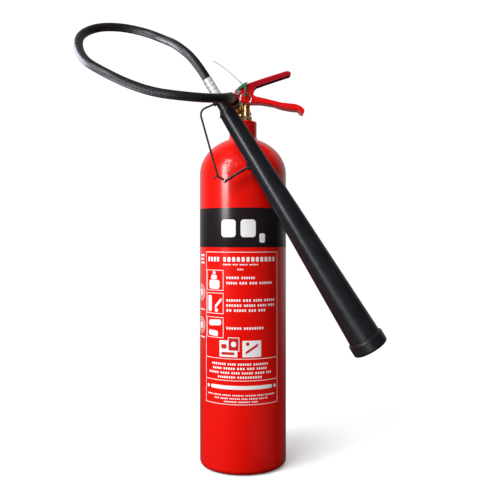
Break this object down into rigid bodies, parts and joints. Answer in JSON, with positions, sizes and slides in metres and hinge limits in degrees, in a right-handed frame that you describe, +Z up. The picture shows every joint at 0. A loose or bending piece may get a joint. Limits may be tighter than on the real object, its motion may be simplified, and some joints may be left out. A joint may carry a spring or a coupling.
{
  "type": "portable carbon dioxide fire extinguisher",
  "caption": "Tall red steel cylinder with a domed shoulder, a squeeze-grip brass valve, a black hose in a standing loop and a long tapered black horn with a wire handle.",
  "frame": {"origin": "centre of the flat foot ring that the cylinder stands on", "axes": "+Z up along the cylinder's axis, +X towards the grips, -Y towards the front, where the horn hangs"},
  "size_m": [0.4736, 0.2428, 0.7101],
  "materials": {
    "red_paint": "gloss",
    "grip_red_paint": "gloss powder coat",
    "brass": "machined, semi-polished",
    "copper_disc": "satin",
    "stainless": "satin",
    "zinc_plated_steel": "bright",
    "dark_wire": "semi-gloss",
    "aluminium": "satin",
    "black_coated_metal": "satin black",
    "hose_rubber": "fabric-marked, satin",
    "o_ring_rubber": "matte",
    "horn_plastic": "moulded, satin",
    "nylon": "matte",
    "seal_green": "moulded, semi-gloss"
  },
  "bodies": {
    "extinguisher": {"cylinder_shell": "red_paint", "neck_ring": "red_paint", "valve_body": "brass", "spring_seat_plug": "brass", "gland_nut": "brass", "handle_jam_nut": "zinc_plated_steel", "burst_disc_plug": "brass", "outlet_union_nut": "brass", "burst_disc": "copper_disc", "burst_disc_washer": "nylon", "valve_seat": "nylon", "dip_tube": "aluminium", "valve_spring": "stainless", "lever_pivot_pin": "zinc_plated_steel", "spindle_o_ring": "o_ring_rubber", "carry_handle": "grip_red_paint", "tamper_seal": "seal_green"},
    "operating_lever": {"operating_lever": "grip_red_paint"},
    "valve_spindle": {"valve_spindle": "stainless", "spindle_seal": "nylon"},
    "safety_pin": {"safety_pin": "zinc_plated_steel"},
    "pull_ring": {"pull_ring": "zinc_plated_steel"},
    "hose_and_horn": {"hose_nipple": "brass", "hose_sleeve_valve_end": "black_coated_metal", "hose": "hose_rubber", "hose_sleeve_horn_end": "aluminium", "horn_nipple": "brass", "horn_grip": "horn_plastic", "horn_jet": "brass", "discharge_horn": "horn_plastic", "handle_stay": "zinc_plated_steel", "wire_handle": "dark_wire"}
  },
  "joints": [
    {"name": "lever_squeeze", "type": "hinge", "parent": "extinguisher", "child": "operating_lever", "pos_m": [-0.008, 0, 0.601], "axis": [0, 1, 0], "range_deg": [0, 18], "stiffness_Nm_per_rad": 2, "springref_deg": -8.59},
    {"name": "spindle_travel", "type": "slide", "parent": "extinguisher", "child": "valve_spindle", "axis": [0, 0, -1], "range_m": [0, 0.003], "deforming": ["valve_spring"]},
    {"name": "pin_pull", "type": "slide", "parent": "extinguisher", "child": "safety_pin", "axis": [0, -1, 0], "range_m": [0, 0.04]},
    {"name": "ring_swing", "type": "hinge", "parent": "safety_pin", "child": "pull_ring", "pos_m": [0.0045, -0.0215, 0.5975], "axis": [1, 0, 0], "range_deg": [-90, 12]},
    {"name": "hose_swivel", "type": "hinge", "parent": "extinguisher", "child": "hose_and_horn", "pos_m": [-0.012, 0, 0.576], "axis": [-0.05, -0.9971, 0.058], "range_deg": [0, 90]}
  ],
  "couplings": [
    {"joint": "spindle_travel", "follows": "lever_squeeze", "m_per_rad": 0.0092}
  ]
}
